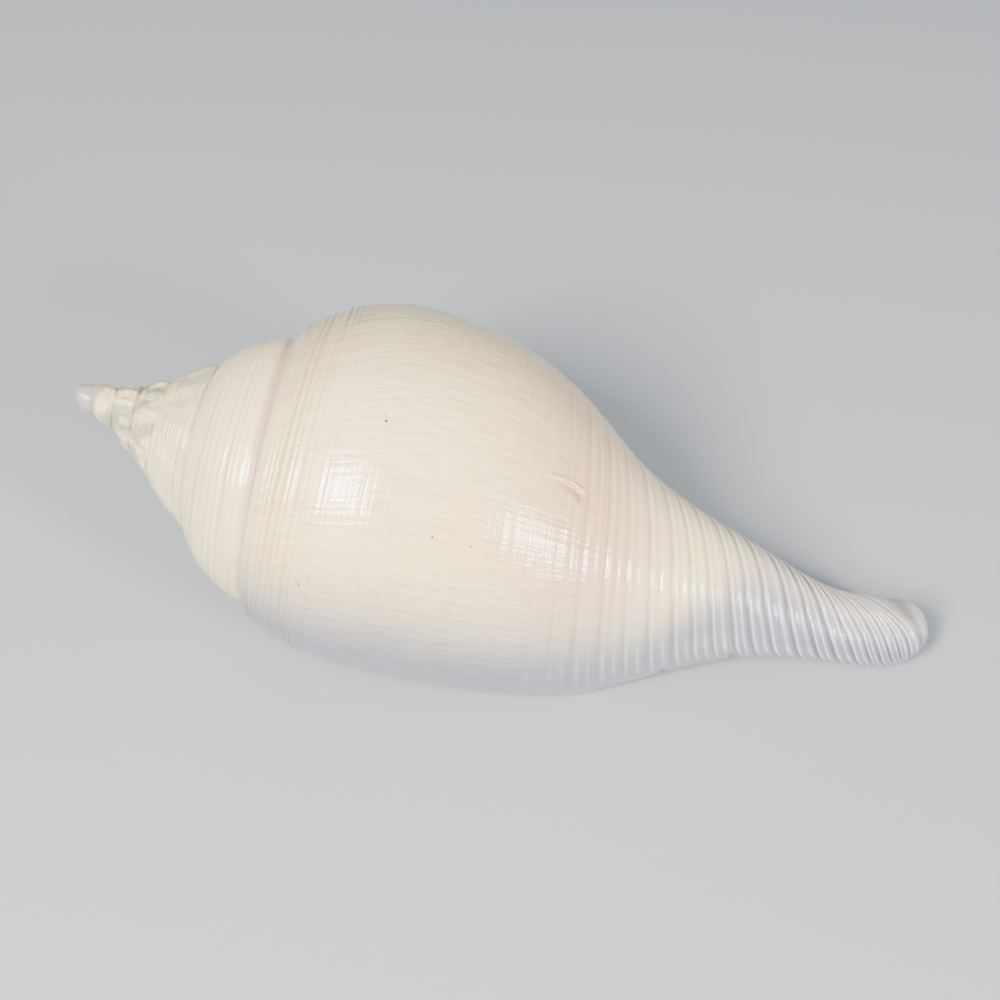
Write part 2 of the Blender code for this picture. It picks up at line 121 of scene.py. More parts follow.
FRONT_SIDE = [
    (24.1, 14.6), (25.8, 16.9), (29.0, 19.4), (33.0, 21.3), (37.0, 22.3), (41.0, 22.6),
    (45.0, 22.3), (50.0, 21.0), (55.0, 19.0), (60.0, 16.5), (65.0, 13.9), (70.0, 11.8),
    (75.0, 10.2), (80.0, 9.0), (86.0, 7.9), (92.0, 7.0), (98.0, 6.1), (104.0, 5.2),
    (108.0, 4.8), (112.0, 4.75), (114.8, 4.7), (116.6, 4.2), (118.2, 3.2), (119.4, 1.1),
]
PILLAR_SIDE = [
    (22.8, 13.8), (24.6, 16.0), (28.0, 18.8), (32.0, 20.5), (36.0, 21.0), (40.0, 20.4),
    (45.0, 18.5), (50.0, 15.8), (55.0, 13.0), (60.0, 10.7), (65.0, 9.0), (70.0, 7.8),
    (75.0, 7.0), (80.0, 6.3), (90.0, 5.3), (100.0, 4.5), (108.0, 4.0), (114.0, 3.8),
    (117.0, 3.0), (119.2, 0.9),
]
SIDES = {0.0: LIP_SIDE, 0.25: BACK_SIDE, 0.5: TOP_SIDE, 0.75: FRONT_SIDE, 0.875: PILLAR_SIDE}

# The turns between which the section is eased.  Those without a side of their own follow
# the whorl before.
KNOTS = (*SIDES, 1.0, 1.125)

# The same spiral line met on five sides and on the pillar, by turns back.  A line is named
# by its place on the top side, or near it where the last lines fan out over the end of the
# canal.  It drifts towards the canal end as the shell grows.
LINE_NAMES = (26.7, 36.5, 50.0, 60.0, 70.0, 78.3, 92.3, 100.5, 104.9, 107.7, 110.4, 119.5)
LINE_PATHS = {
    0.0: (30.9, 42.5, 59.0, 71.0, 82.3, 90.3, 103.2, 111.0, 115.4, 117.6, 119.0, 119.5),
    0.25: (29.5, 39.8, 54.5, 65.7, 76.4, 84.6, 97.7, 106.0, 110.6, 113.4, 116.4, 119.5),
    0.5: (26.8, 36.5, 50.0, 60.0, 70.0, 78.3, 92.3, 100.5, 104.2, 106.4, 108.2, 119.5),
    0.75: (24.1, 33.7, 46.0, 55.0, 64.2, 72.2, 86.5, 95.0, 100.0, 104.0, 107.5, 119.4),
    0.875: (22.8, 32.3, 44.2, 52.8, 61.6, 69.5, 83.8, 92.4, 97.5, 101.5, 105.5, 119.2),
    1.0: (21.4, 30.9, 42.5, 50.8, 59.2, 67.0, 81.0, 89.8, 95.0, 99.0, 103.5, 118.8),
}

# The lines of the suture, of the suture one turn on and of the canal end, and where the
# last two lie on the pillar.
SUTURE_LINE = 26.7
NEXT_SUTURE_LINE = 36.5
END_LINE = 119.5
PILLAR_START = 30.9
PILLAR_END = 118.8

# Size of a whorl as a share of the next larger one.
WHORL_RATIO = 0.64

# The pillar in the middle of the last whorl: its radius, and how the wall of the
# whorl before falls away to it.
PILLAR_RADIUS = [(20.0, 6.0), (55.0, 6.0), (65.0, 5.6), (75.0, 4.7), (85.0, 3.6),
                 (95.0, 2.4), (103.0, 1.5), (110.0, 1.0), (115.0, 0.8), (118.8, 0.6)]
WALL_FALL = [(0.0, 1.0), (1.5, 1.02), (3.5, 1.0), (6.0, 0.94), (10.0, 0.79), (15.0, 0.58),
             (20.0, 0.37), (25.0, 0.2), (30.0, 0.09), (36.0, 0.02), (42.0, 0.0), (110.0, 0.0)]

# Spiral cords of the base and canal: how many lie between the first one and a line,
# and how high they stand.
CORD_START = 50.0
CORD_COUNT = [(CORD_START, 0.0), (62.0, 4.0), (80.0, 10.2), (100.5, 17.4), (104.9, 19.5),
              (107.7, 21.4), (110.4, 23.4), (119.5, 24.6)]
CORD_HEIGHT = [(CORD_START, 0.0), (58.0, 0.03), (66.0, 0.09), (78.0, 0.17), (90.0, 0.23),
               (108.0, 0.24), (111.0, 0.22), (115.0, 0.16), (119.5, 0.04)]

# Crests of a cord, as shares of its width, and the relief of crests, groove and fine
# ridges as shares of its height.
FIRST_CREST = 0.2
SECOND_CREST = 0.68
FIRST_CREST_HEIGHT = 0.6
SECOND_CREST_HEIGHT = 0.45
GROOVE_HEIGHT = 0.6
FINE_RIDGE_HEIGHT = 0.15

# Oblique folds on the pillar.
FOLD_LINES = (68.0, 73.2, 78.2)
FOLD_HEIGHTS = (0.9, 1.0, 0.7)
FOLD_WIDTH = 1.25

# The growing edge of the lip, as degrees around the axis for each spiral line.
LIP_ANGLE = [(26.7, 197.0), (30.0, 191.0), (36.0, 185.0), (44.0, 180.0), (60.0, 178.0),
             (72.0, 176.0), (80.0, 171.0), (86.0, 168.0), (93.0, 171.0), (100.0, 178.0),
             (106.0, 185.0), (112.0, 190.0), (119.5, 192.0)]
LIP_ANGLE_AT_SUTURE = 197.0
SUTURE_SHIFT = (LIP_ANGLE_AT_SUTURE - 180.0) / 360.0

# How far back, in turns, the mesh still follows the shape of the lip.
LIP_FOLLOWED = 0.4

# Wall thickness at the edge, inside, and on the canal; how soon it is full, in turns, and
# how far the edge of the lip bulges.
EDGE_WALL = 1.3
INNER_WALL = 2.6
CANAL_EDGE_WALL = 1.1
CANAL_WALL = 1.5
WALL_GROWTH = 0.03
EDGE_BULGE = 0.45

# How deep the hollow reaches, in turns, for each distance from the apex, and the line on
# the pillar where it begins.
HOLLOW_DEPTH = [(20.0, 0.7), (74.0, 0.7), (84.0, 0.42), (92.0, 0.22), (100.0, 0.17),
                (119.5, 0.15)]
HOLLOW_START_LINE = 39.2

# Rows of the hollow crowd towards the lip, and its end closes over the last part.
ROW_CROWDING = 1.3
CLOSING_START = 0.7
CLOSING_LENGTH = 0.3

# The inner face: how far its slope is measured to either side, how far it may shift along
# the axis, and the lines where the canal starts, narrows and closes.
SLOPE_REACH = 0.4
MOST_SHIFT = 0.6
CANAL_LINE = 80.0
NARROW_LINE = 100.0
TIP_LINE = 112.0
TIP_WALL_SHARE = 0.3

# The least gap between the inner face and the pillar: at the suture, how much it grows
# over how many lines, and in the narrow canal; and how much the gap closes at its end.
LEAST_GAP = 0.3
GAP_RISE = 0.7
GAP_RISE_LINES = 8.0
NARROW_GAP = 0.25
END_CLOSING = 0.3

# The axis isn't quite straight: the spire leans one way and the canal end the other.
AXIS_BEND = [(0.0, 0.4), (4.0, 0.15), (10.0, -0.4), (18.0, -0.75), (26.0, -0.35), (34.0, 0.0),
             (102.0, 0.0), (106.0, 0.15), (110.0, 0.7), (114.0, 1.4), (117.0, 2.0),
             (119.5, 2.3)]

# The spire's whorls are tipped a little, so one side sits nearer the canal.
SPIRE_LEAN = [(0.0, 0.05), (16.0, 0.05), (27.0, 0.01), (34.0, 0.0), (120.0, 0.0)]

# How the empty shell lies: which side faces the table, as an angle around the axis,
# and how far the canal end dips below the spire.
REST_SIDE = 228.2
REST_DIP = 13.3

# Threads below the suture and over the spire.
THREAD_PITCH = 0.82
THREAD_HEIGHT = [(26.8, 0.08), (28.0, 0.19), (33.0, 0.17), (36.5, 0.08), (41.0, 0.02),
                 (48.0, 0.0)]
THREAD_END = 48.0
SPIRE_THREAD = 0.1

# Low knobs on the early whorls.
KNOBS_PER_TURN = 10
WRINKLES_PER_TURN = 23
KNOB_TURNS = (1.6, 5.0)
KNOB_HEIGHT = [(1.6, 0.0), (2.4, 0.2), (3.2, 0.38), (4.4, 0.28), (5.0, 0.0)]

# The hollow before a suture, as shares of the whorl, and the rounded rim below the suture.
CHANNEL_AT = 0.95
CHANNEL_WIDTH = 0.055
CHANNEL_DEPTH = 0.3
RIM_AT = 0.6
RIM_WIDTH = 0.45
RIM_HEIGHT = 0.28

# Growth ripples.
GROWTH_HEIGHT = 0.035

# Small chips out of the lip edge: spiral line, half width, depth in degrees.  The first
# two are the notches, whose sides get painted shade.
LIP_CHIPS = [(75.2, 0.7, 10.0), (84.6, 0.7, 17.0), (62.5, 0.4, 1.2), (51.9, 0.5, 1.5),
             (97.0, 0.4, 2.0)]
NOTCH_COUNT = 2

# The healed scar, a shallow crescent: turns back, spiral line, radius of its curve, half
# its length, and how far the ridge lies outside that curve and the hollow inside it.
SCAR_TURN = 0.312
SCAR_LINE = 61.9
SCAR_RADIUS = 5.7
SCAR_HALF = 2.4
SCAR_RIDGE = 0.25
SCAR_HOLLOW = 0.75

# The photo's view, straight at the back of the shell: picture width in pixels, millimetres
# per pixel, pixel of the apex, tilt of the axis in degrees, distance of the camera.
PHOTO_WIDTH = 1000
PHOTO_SCALE = 0.1351
PHOTO_APEX = (74.0, 394.1)
PHOTO_TILT = 17.1
CAMERA_DISTANCE = 209.0
NEAR_CLIP = 0.01
FAR_CLIP = 20.0

# Room: half the floor's width, where the lights aim, their distances, and the colours of
# the lights and the room.
HALF_FLOOR = 3.0
LIGHT_AIM = (0.0, 0.0, 0.02)
WINDOW_DISTANCE = 0.5
FRONT_DISTANCE = 0.9
WINDOW_COLOUR = (1.0, 0.95, 0.86)
FRONT_COLOUR = (1.0, 0.95, 0.88)
ROOM_COLOUR = (0.85, 0.93, 1.0, 1.0)
ROOM_STRENGTH = 0.65


def bridge(a, b, slope_a, slope_b, gap, t):
    """Smooth step from a to b over a gap, with a given slope at either end."""
    return (a * (1 + 2 * t) * (1 - t) ** 2 + slope_a * gap * t * (1 - t) ** 2
            + b * t * t * (3 - 2 * t) - slope_b * gap * t * t * (1 - t))


def curve(table, x):
    """Smooth line through a short table that never swings past it, straight on at its ends."""
    xs, ys = np.array(list(table), float).T
    gaps = np.diff(xs)
    slope = np.diff(ys) / gaps
    tangent = np.zeros(len(xs))
    tangent[0] = slope[0]
    tangent[-1] = slope[-1]
    same_way = slope[:-1] * slope[1:] > 0
    with np.errstate(divide="ignore", invalid="ignore"):
        first = 2 * gaps[1:] + gaps[:-1]
        second = gaps[1:] + 2 * gaps[:-1]
        mean = (first + second) / (first / slope[:-1] + second / slope[1:])
    tangent[1:-1] = np.where(same_way, mean, 0.0)
    x = np.asarray(x, float)
    k = np.clip(np.searchsorted(xs, x, side="right") - 1, 0, len(xs) - 2)
    t = np.clip((x - xs[k]) / gaps[k], 0.0, 1.0)
    value = bridge(ys[k], ys[k + 1], tangent[k], tangent[k + 1], gaps[k], t)
    below = np.minimum(x - xs[0], 0.0) * tangent[0]
    above = np.maximum(x - xs[-1], 0.0) * tangent[-1]
    return value + below + above


def suture(turn):
    """Place of the suture: distance from the apex and radius."""
    along = curve([(t, u) for t, u, r in SUTURE], turn)
    radius = curve([(t, r) for t, u, r in SUTURE], turn)
    return along, radius


def spire_profile(turn, share):
    """Point on a spire whorl, share 0 at its upper suture and 1 at the lower one."""
    upper_u, upper_r = suture(turn)
    lower_u, lower_r = suture(turn - 1.0)
    du = lower_u - upper_u
    dr = lower_r - upper_r
    chord = np.hypot(du, dr)
    swell = curve(WHORL_SWELL, turn) * chord
    bulge = swell * 4.3 * share * (1 - share) * (1.25 - 0.5 * share)
    return (upper_u + du * share - dr / chord * bulge,
            upper_r + dr * share + du / chord * bulge)


def pillar_profile(turn, line):
    """Wall of the whorl before, from the suture down to the pillar and the canal."""
    start_u, start_r = suture(turn - 1.0)
    at_one = curve(zip(LINE_NAMES, LINE_PATHS[1.0]), line)
    reach = (PILLAR_END - start_u) / (PILLAR_END - PILLAR_START)
    along = start_u + (at_one - PILLAR_START) * reach
    shrink = WHORL_RATIO ** (turn - 1.0)
    rod = curve(PILLAR_RADIUS, along)
    fall = curve(WALL_FALL, (along - start_u) / shrink)
    return along, rod + (start_r - curve(PILLAR_RADIUS, start_u)) * fall


def whorl_share(line):
    """Place of a line on a spire whorl, 0 at its upper suture and 1 at the lower one."""
    return (line - SUTURE_LINE) / (NEXT_SUTURE_LINE - SUTURE_LINE)


def before_last(turn, line):
    """Section of the shell one turn or more behind the lip."""
    share = whorl_share(line)
    inside = share > 1.0
    spire_u, spire_r = spire_profile(turn, np.clip(share, 0.0, 1.0))
    wall_u, wall_r = pillar_profile(turn, np.maximum(line, NEXT_SUTURE_LINE))
    return np.where(inside, wall_u, spire_u), np.where(inside, wall_r, spire_r)


def station(turn, line):
    """Section of the shell at one of the knots."""
    if turn not in SIDES:
        return before_last(turn, line)
    along = curve(zip(LINE_NAMES, LINE_PATHS[turn]), line)
    return along, curve(SIDES[turn], along)


def pick(table, rows):
    """For each point, the value in its own row of a table."""
    return np.take_along_axis(table, rows[None], 0)[0]


def section(turn, line):
    """Distance along the axis and radius of any point of the outer surface."""
    turn, line = np.broadcast_arrays(np.asarray(turn, float), np.asarray(line, float))
    old_u, old_r = before_last(np.maximum(turn, 1.0), line)
    stations = np.array([station(knot, line) for knot in KNOTS])
    knots = np.array(KNOTS)
    gaps = np.diff(knots)
    k = np.clip(np.searchsorted(knots, turn, side="right") - 1, 0, len(SIDES) - 1)
    raw = (turn - knots[k]) / gaps[k]
    new = []
    for values in (stations[:, 0], stations[:, 1]):
        slopes = np.diff(values, axis=0) / gaps.reshape((-1,) + (1,) * (values.ndim - 1))
        tangents = np.empty_like(values)
        tangents[0] = slopes[0]
        tangents[-1] = slopes[-1]
        for n in range(1, len(knots) - 1):
            tangents[n] = ((slopes[n - 1] * gaps[n] + slopes[n] * gaps[n - 1])
                           / (gaps[n - 1] + gaps[n]))
        value = bridge(pick(values, k), pick(values, k + 1), pick(tangents, k),
                       pick(tangents, k + 1), gaps[k], np.clip(raw, 0.0, 1.0))
        new.append(value + np.minimum(raw, 0.0) * gaps[k] * pick(tangents, k))
    last = turn < 1.0
    return np.where(last, new[0], old_u), np.where(last, new[1], old_r)


def step(x, low, high):
    """Smooth rise from 0 at low to 1 at high."""
    t = np.clip((np.asarray(x, float) - low) / (high - low), 0.0, 1.0)
    return t * t * (3 - 2 * t)


def bell(x, centre, width):
    """Rounded hump, 1 at its centre."""
    return np.exp(-((x - centre) / width) ** 2)


def ridges(phase, sharpness=1):
    """Row of ridges, one for each whole number of the phase."""
    return (0.5 + 0.5 * np.cos(2 * np.pi * phase)) ** sharpness


def wander(x, seed):
    """Slow uneven wave, mostly between -1 and 1."""
    return (np.sin(x + seed) + 0.6 * np.sin(2.3 * x + 1.7 * seed + 1.0)
            + 0.4 * np.sin(5.1 * x + 2.9 * seed)) / 1.6


def grown(turn, line):
    """Turns back from the lip, measured along the growth lines."""
    return turn + (curve(LIP_ANGLE, line) - 180.0) / 360.0


def cord_relief(turn, line):
    """Broad cords with a groove between each two; each cord has two narrow crests."""
    phase = curve(CORD_COUNT, line)
    phase = phase + 0.13 * wander(phase * 0.9, 2.0) + 0.03 * wander(turn * 9.0, 1.0)
    groove = ridges(phase, 8)
    first = ridges(phase - FIRST_CREST, 12)
    second = ridges(phase - SECOND_CREST - 0.05 * wander(phase, 5.0), 12)
    fine = ridges(phase * 4)
    height = curve(CORD_HEIGHT, line) * (line > CORD_START)
    height = height * (0.35 + 0.65 * step(grown(turn, line), 0.0, 0.12))
    inside = 1 - step(turn, 0.82, 0.92)
    shape = (FIRST_CREST_HEIGHT * first + SECOND_CREST_HEIGHT * second
             - GROOVE_HEIGHT * groove - FINE_RIDGE_HEIGHT * fine)
    return height * shape * inside


def thread_phase(line):
    """How many threads lie between the suture and a line."""
    phase = (line - SUTURE_LINE) / THREAD_PITCH
    return phase + 0.3 * wander(phase * 0.9, 4.0)


def thread_relief(turn, line, radius):
    """Fine threads that run along the whorls below each suture."""
    height = curve(THREAD_HEIGHT, line) * (line < THREAD_END)
    on_spire = turn > 1.0
    height = np.where(on_spire, SPIRE_THREAD, height) * np.clip(radius / 10.0, 0.3, 1.0)
    inside = np.where(on_spire, 1.0, 1 - step(turn, 0.85, 0.98) * step(line, 36.0, 37.0))
    uneven = 1.0 + 0.7 * wander(line * 1.1 + turn * 2.0, 1.9)
    fine = 0.35 * np.cos(4 * np.pi * thread_phase(line) + 1.0)
    return height * (np.cos(2 * np.pi * thread_phase(line)) + fine) * 0.45 * uneven * inside


def knob_relief(turn, line, radius):
    """Low uneven knobs on the shoulder of the early whorls."""
    share = whorl_share(line)
    band = bell(share, 0.5, 0.33)
    swing = np.cos(2 * np.pi * KNOBS_PER_TURN * turn + 1.6 * wander(turn * 5.0, 3.0)
                   + 1.2 * share)
    first, last = KNOB_TURNS
    height = curve(KNOB_HEIGHT, np.clip(turn, first, last)) * (turn > first) * (turn < last)
    wrinkles = 0.4 * np.cos(2 * np.pi * WRINKLES_PER_TURN * turn + 3.0 * wander(turn * 7.0, 0.6))
    return height * band * (swing + wrinkles) * np.clip(radius / 6.0, 0.4, 1.3)


def channel_relief(turn, line, radius):
    """Shallow hollow along the whorl before the next suture, and the rounded rim below one."""
    share = whorl_share(line)
    hollow = bell(share, CHANNEL_AT, CHANNEL_WIDTH)
    strength = step(turn, 0.97, 1.06) * (1 - step(turn, 4.6, 5.3))
    strength = strength * np.clip(radius / 11.0, 0.25, 1.0)
    rim = bell(line - SUTURE_LINE, RIM_AT, RIM_WIDTH) * (1 - step(turn, 1.6, 2.6))
    wavy = 1.0 + 0.35 * wander(grown(turn, line) * 40.0, 0.7)
    return -CHANNEL_DEPTH * hollow * strength + RIM_HEIGHT * rim * wavy


def growth_relief(turn, line):
    """Old lip edges: soft ripples that run across the whorl."""
    age = grown(turn, line)
    wave = wander(age * 22.0, 1.3) * 0.5 + wander(age * 47.0, 4.1) * 0.35
    outside = 1 - step(turn, 0.75, 0.9) * step(line, 36.0, 37.0)
    height = GROWTH_HEIGHT * step(turn, -0.1, 0.1) * outside
    return wave * height


def fold_relief(turn, line):
    """Height of the oblique folds on the pillar inside the mouth."""
    folds = [height * bell(line, centre, FOLD_WIDTH)
             for centre, height in zip(FOLD_LINES, FOLD_HEIGHTS)]
    return sum(folds) * step(turn, 0.84, 0.96)


def surface_relief(turn, line, radius):
    """All the relief together, in millimetres above the plain whorl."""
    relief = (cord_relief(turn, line) + fold_relief(turn, line)
              + thread_relief(turn, line, radius) + knob_relief(turn, line, radius)
              + channel_relief(turn, line, radius) + growth_relief(turn, line))
    return relief * np.clip(radius / 1.5, 0.0, 1.0)


def place(turn, along, radius):
    """Point in the shell's own frame from turns back, distance along and radius."""
    angle = math.pi - 2 * math.pi * np.asarray(turn, float)
    across = radius * np.cos(angle)
    x = along + across * curve(SPIRE_LEAN, along)
    y = across + curve(AXIS_BEND, along)
    z = radius * np.sin(angle)
    return np.stack(np.broadcast_arrays(x, y, z), axis=-1)


def outer(turn, line):
    """Points of the outer surface with all its relief."""
    along, radius = section(turn, line)
    return place(turn, along, radius + surface_relief(turn, line, radius))


def wall(depth, line):
    """Wall thickness: thin at the growing edge, thicker inside, thinner on the canal."""
    canal = np.clip((line - CANAL_LINE) / (NARROW_LINE - CANAL_LINE), 0.0, 1.0)
    edge = EDGE_WALL + (CANAL_EDGE_WALL - EDGE_WALL) * canal
    full = INNER_WALL + (CANAL_WALL - INNER_WALL) * canal
    return edge + (full - edge) * (1 - np.exp(-depth / WALL_GROWTH))


def inner(turn, depth, line, closing):
    """Inner face of the outer wall, kept clear of the pillar."""
    along, radius = section(turn, line)
    ahead_u, ahead_r = section(turn, line + SLOPE_REACH)
    behind_u, behind_r = section(turn, line - SLOPE_REACH)
    du = ahead_u - behind_u
    dr = ahead_r - behind_r
    size = np.hypot(du, dr)
    thick = wall(depth, line)
    in_u = np.minimum(along + dr / size * thick, along + MOST_SHIFT)
    in_u = np.where(line > TIP_LINE, along, in_u)
    in_r = radius - du / size * thick
    in_r = np.where(line > TIP_LINE, radius - np.minimum(thick, radius * TIP_WALL_SHARE), in_r)
    lines = np.linspace(NEXT_SUTURE_LINE, END_LINE, 160)
    result = np.empty_like(in_r)
    for index in np.ndindex(in_r.shape):
        wall_u, wall_r = before_last(np.full(lines.shape, max(turn[index] + 1.0, 1.0)), lines)
        pillar = np.interp(in_u[index], wall_u, wall_r)
        rise = np.clip((line[index] - SUTURE_LINE) / GAP_RISE_LINES, 0.0, 1.0)
        least = LEAST_GAP + GAP_RISE * rise
        if line[index] > NARROW_LINE:
            least = NARROW_GAP
        gap = max(in_r[index] - pillar, least)
        result[index] = pillar + gap * (1 - END_CLOSING * closing)
    return place(turn, in_u, result)


def zip_rows(first, second, points):
    """Triangles between two chains of vertices, always taking the shorter crossing."""
    faces = []
    a = 0
    b = 0
    while a < len(first) - 1 or b < len(second) - 1:
        if b == len(second) - 1:
            take_first = True
        elif a == len(first) - 1:
            take_first = False
        else:
            one = np.linalg.norm(points[first[a + 1]] - points[second[b]])
            two = np.linalg.norm(points[first[a]] - points[second[b + 1]])
            take_first = one <= two
        if take_first:
            corner = (first[a], first[a + 1], second[b])
            a += 1
        else:
            corner = (first[a], second[b + 1], second[b])
            b += 1
        if len(set(corner)) == 3:
            faces.append(corner)
    return faces


def column_lines():
    """Names of the spiral lines that carry the columns of the mesh."""
    lines = list(np.linspace(SUTURE_LINE, NEXT_SUTURE_LINE, SPIRE_COLUMNS + 1))
    lines += list(np.linspace(NEXT_SUTURE_LINE, SHOULDER_END, SHOULDER_COLUMNS + 1)[1:])
    fine = np.linspace(SHOULDER_END, END_LINE, 4000)
    counts = curve(CORD_COUNT, fine)
    total = int((counts[-1] - counts[0]) * COLUMNS_PER_CORD)
    for count in np.linspace(counts[0], counts[-1], total + 1)[1:-1]:
        lines.append(float(np.interp(count, counts, fine)))
    lines.append(END_LINE)
    return np.array(lines)


def lip_chips(lines):
    """How far the chipped lip edge stands back, in turns."""
    back = 0.35 * wander(lines * 0.9, 2.2) + 0.25 * wander(lines * 2.7, 0.4)
    for line, half, depth in LIP_CHIPS:
        back = back + depth * np.clip(1.3 * (1 - np.abs(lines - line) / half), 0.0, 1.0)
    return back / 360.0


def lip_retreat(lines):
    """How far the lip edge stands back from its upper corner, in turns."""
    return (LIP_ANGLE_AT_SUTURE - curve(LIP_ANGLE, lines)) / 360.0 + lip_chips(lines)


def inner_wall_lines(lines):
    """Lines of the inner wall, coarser than those of the outside."""
    inner_lines = np.concatenate([
        np.linspace(29.5, 36.0, 12), np.linspace(36.8, 62.0, 40), lines[lines > 62.3][::3]])
    if inner_lines[-1] < END_LINE:
        inner_lines = np.append(inner_lines, END_LINE)
    return inner_lines


class Skin:
    """Vertices and faces while they are made, each with its spiral address."""

    def __init__(self):
        self.points = []
        self.turns = []
        self.lines = []
        self.sides = []
        self.faces = []
        self.addresses = []

    def add(self, point, turn, line, side):
        self.points.append(np.array(point, float))
        self.turns.append(float(turn))
        self.lines.append(float(line))
        self.sides.append(side)
        return len(self.points) - 1

    def strip(self, first, second):
        """Faces between two chains of vertices."""
        for face in zip_rows(first, second, self.points):
            self.faces.append(face)
            self.addresses.append([(self.turns[n], self.lines[n]) for n in face])


def build_outside(skin, lines):
    """Outer surface from the lip back to the apex."""
    steps = STEPS_PER_TURN
    last = len(lines) - 1
    rows = int(round(TURNS * steps))
    retreat = lip_retreat(lines)
    number = {}
    turns = []
    for i in range(rows + 1):
        fade = max(0.0, 1 - i / (LIP_FOLLOWED * steps)) ** 2
        turn = i / steps - SUTURE_SHIFT + retreat * fade
        turns.append(turn)
        width = last + 1 if i <= steps else SPIRE_COLUMNS
        row = outer(turn[:width], lines[:width])
        for j in range(width):
            if i < steps or j != SPIRE_COLUMNS:
                number[(i, j)] = skin.add(row[j], turn[j], lines[j], OUTSIDE)
        if i >= steps:
            number[(i, SPIRE_COLUMNS)] = number[(i - steps, 0)]
    for i in range(rows):
        width = last if i < steps else SPIRE_COLUMNS
        for j in range(width):
            corners = [(i, j), (i, j + 1), (i + 1, j + 1), (i + 1, j)]
            skin.faces.append(tuple(number[corner] for corner in corners))
            skin.addresses.append([(turns[a][b], lines[b]) for a, b in corners])
    tip = [number[(i, 0)] for i in range(rows - steps, rows + 1)]
    tip += [number[(rows, j)] for j in range(1, SPIRE_COLUMNS)]
    middle = skin.add((0.05, 0.0, 0.0), TURNS, SUTURE_LINE, OUTSIDE)
    for a, b in zip(tip, tip[1:] + tip[:1]):
        skin.faces.append((a, b, middle))
        skin.addresses.append([(skin.turns[n], skin.lines[n]) for n in (a, b, middle)])
    return number


def build_hollow(skin, lines, number):
    """Inner wall, pillar, lip edge and canal end."""
    steps = STEPS_PER_TURN
    last = len(lines) - 1
    begin = int(np.searchsorted(lines, HOLLOW_START_LINE))
    pillar_columns = [begin] + list(range(begin + 1, last, 2)) + [last]
    inner_lines = inner_wall_lines(lines)
    inner_start = lip_retreat(inner_lines) - SUTURE_SHIFT
    inner_depth = curve(HOLLOW_DEPTH, section(inner_start, inner_lines)[0])
    pillar_lines = lines[pillar_columns]
    pillar_depth = curve(HOLLOW_DEPTH, section(1.0, pillar_lines)[0])
    inner_rows = []
    pillar_rows = []
    for k in range(CAVITY_ROWS + 1):
        part = (k / CAVITY_ROWS) ** ROW_CROWDING
        closing = max(0.0, (part - CLOSING_START) / CLOSING_LENGTH) ** 2
        if k == 0:
            pillar_row = [number[(steps, j)] for j in range(begin, last + 1)]
        else:
            turn = 1.0 - SUTURE_SHIFT + pillar_depth * part
            row = outer(turn, pillar_lines)
            pillar_row = [skin.add(point, t, line, PILLAR)
                          for point, t, line in zip(row, turn, pillar_lines)]
        depth = inner_depth * part
        turn = inner_start + depth
        row = inner(turn, depth, inner_lines, closing)
        inner_row = [pillar_row[0]]
        inner_row += [skin.add(point, t, line, INSIDE)
                      for point, t, line in zip(row, turn, inner_lines)]
        inner_rows.append(inner_row)
        pillar_rows.append(pillar_row)
    for k in range(CAVITY_ROWS):
        skin.strip(inner_rows[k + 1], inner_rows[k])
        skin.strip(pillar_rows[k], pillar_rows[k + 1])
    skin.strip(pillar_rows[-1], inner_rows[-1])

    inner_edge = [number[(steps, j)] for j in range(SPIRE_COLUMNS, begin)] + inner_rows[0]
    edge_ends = build_lip_edge(skin, lines, number, inner_edge, inner_rows[0])

    # End of the canal.
    ring = [number[(i, last)] for i in range(steps + 1)]
    groove = edge_ends + [row[-1] for row in inner_rows]
    groove += [row[-1] for row in reversed(pillar_rows)]
    skin.strip(groove, ring)


def build_lip_edge(skin, lines, number, inner_edge, wall_edge):
    """Rounded edge of the lip, in a few rows from the outer to the inner side."""
    outer_edge = [number[(0, j)] for j in range(len(lines))]
    wall_points = np.array([skin.points[n] for n in wall_edge])
    partners = []
    for n in outer_edge[1:]:
        gaps = np.linalg.norm(wall_points - skin.points[n], axis=1)
        near = np.argsort(gaps)[:2]
        weight = 1 / (gaps[near] + 1e-6) ** 2
        partners.append((wall_points[near] * weight[:, None]).sum(axis=0) / weight.sum())
    previous = outer_edge
    edge_ends = []
    for row in range(1, EDGE_ROWS + 1):
        angle = math.pi * row / (EDGE_ROWS + 1)
        chain = [outer_edge[0]]
        for n, other in zip(outer_edge[1:], partners):
            own = skin.points[n]
            forward = np.cross((1.0, 0.0, 0.0), own)
            forward = forward / np.linalg.norm(forward)
            point = ((own + other) / 2 + (own - other) / 2 * math.cos(angle)
                     + EDGE_BULGE * math.sin(angle) * forward)
            chain.append(skin.add(point, skin.turns[n], skin.lines[n], EDGE))
        skin.strip(chain, previous)
        edge_ends.append(chain[-1])
        previous = chain
    skin.strip(inner_edge, previous)
    return edge_ends


def rest_turn(points):
    """Turn points of the shell's own frame the way it rests."""
    roll = math.radians(270.0 - REST_SIDE)
    dip = math.radians(REST_DIP)
    x, y, z = np.asarray(points, float).T
    turned_y = y * math.cos(roll) - z * math.sin(roll)
    turned_z = y * math.sin(roll) + z * math.cos(roll)
    return np.stack([x * math.cos(dip) + turned_z * math.sin(dip), turned_y,
                     turned_z * math.cos(dip) - x * math.sin(dip)], axis=-1)


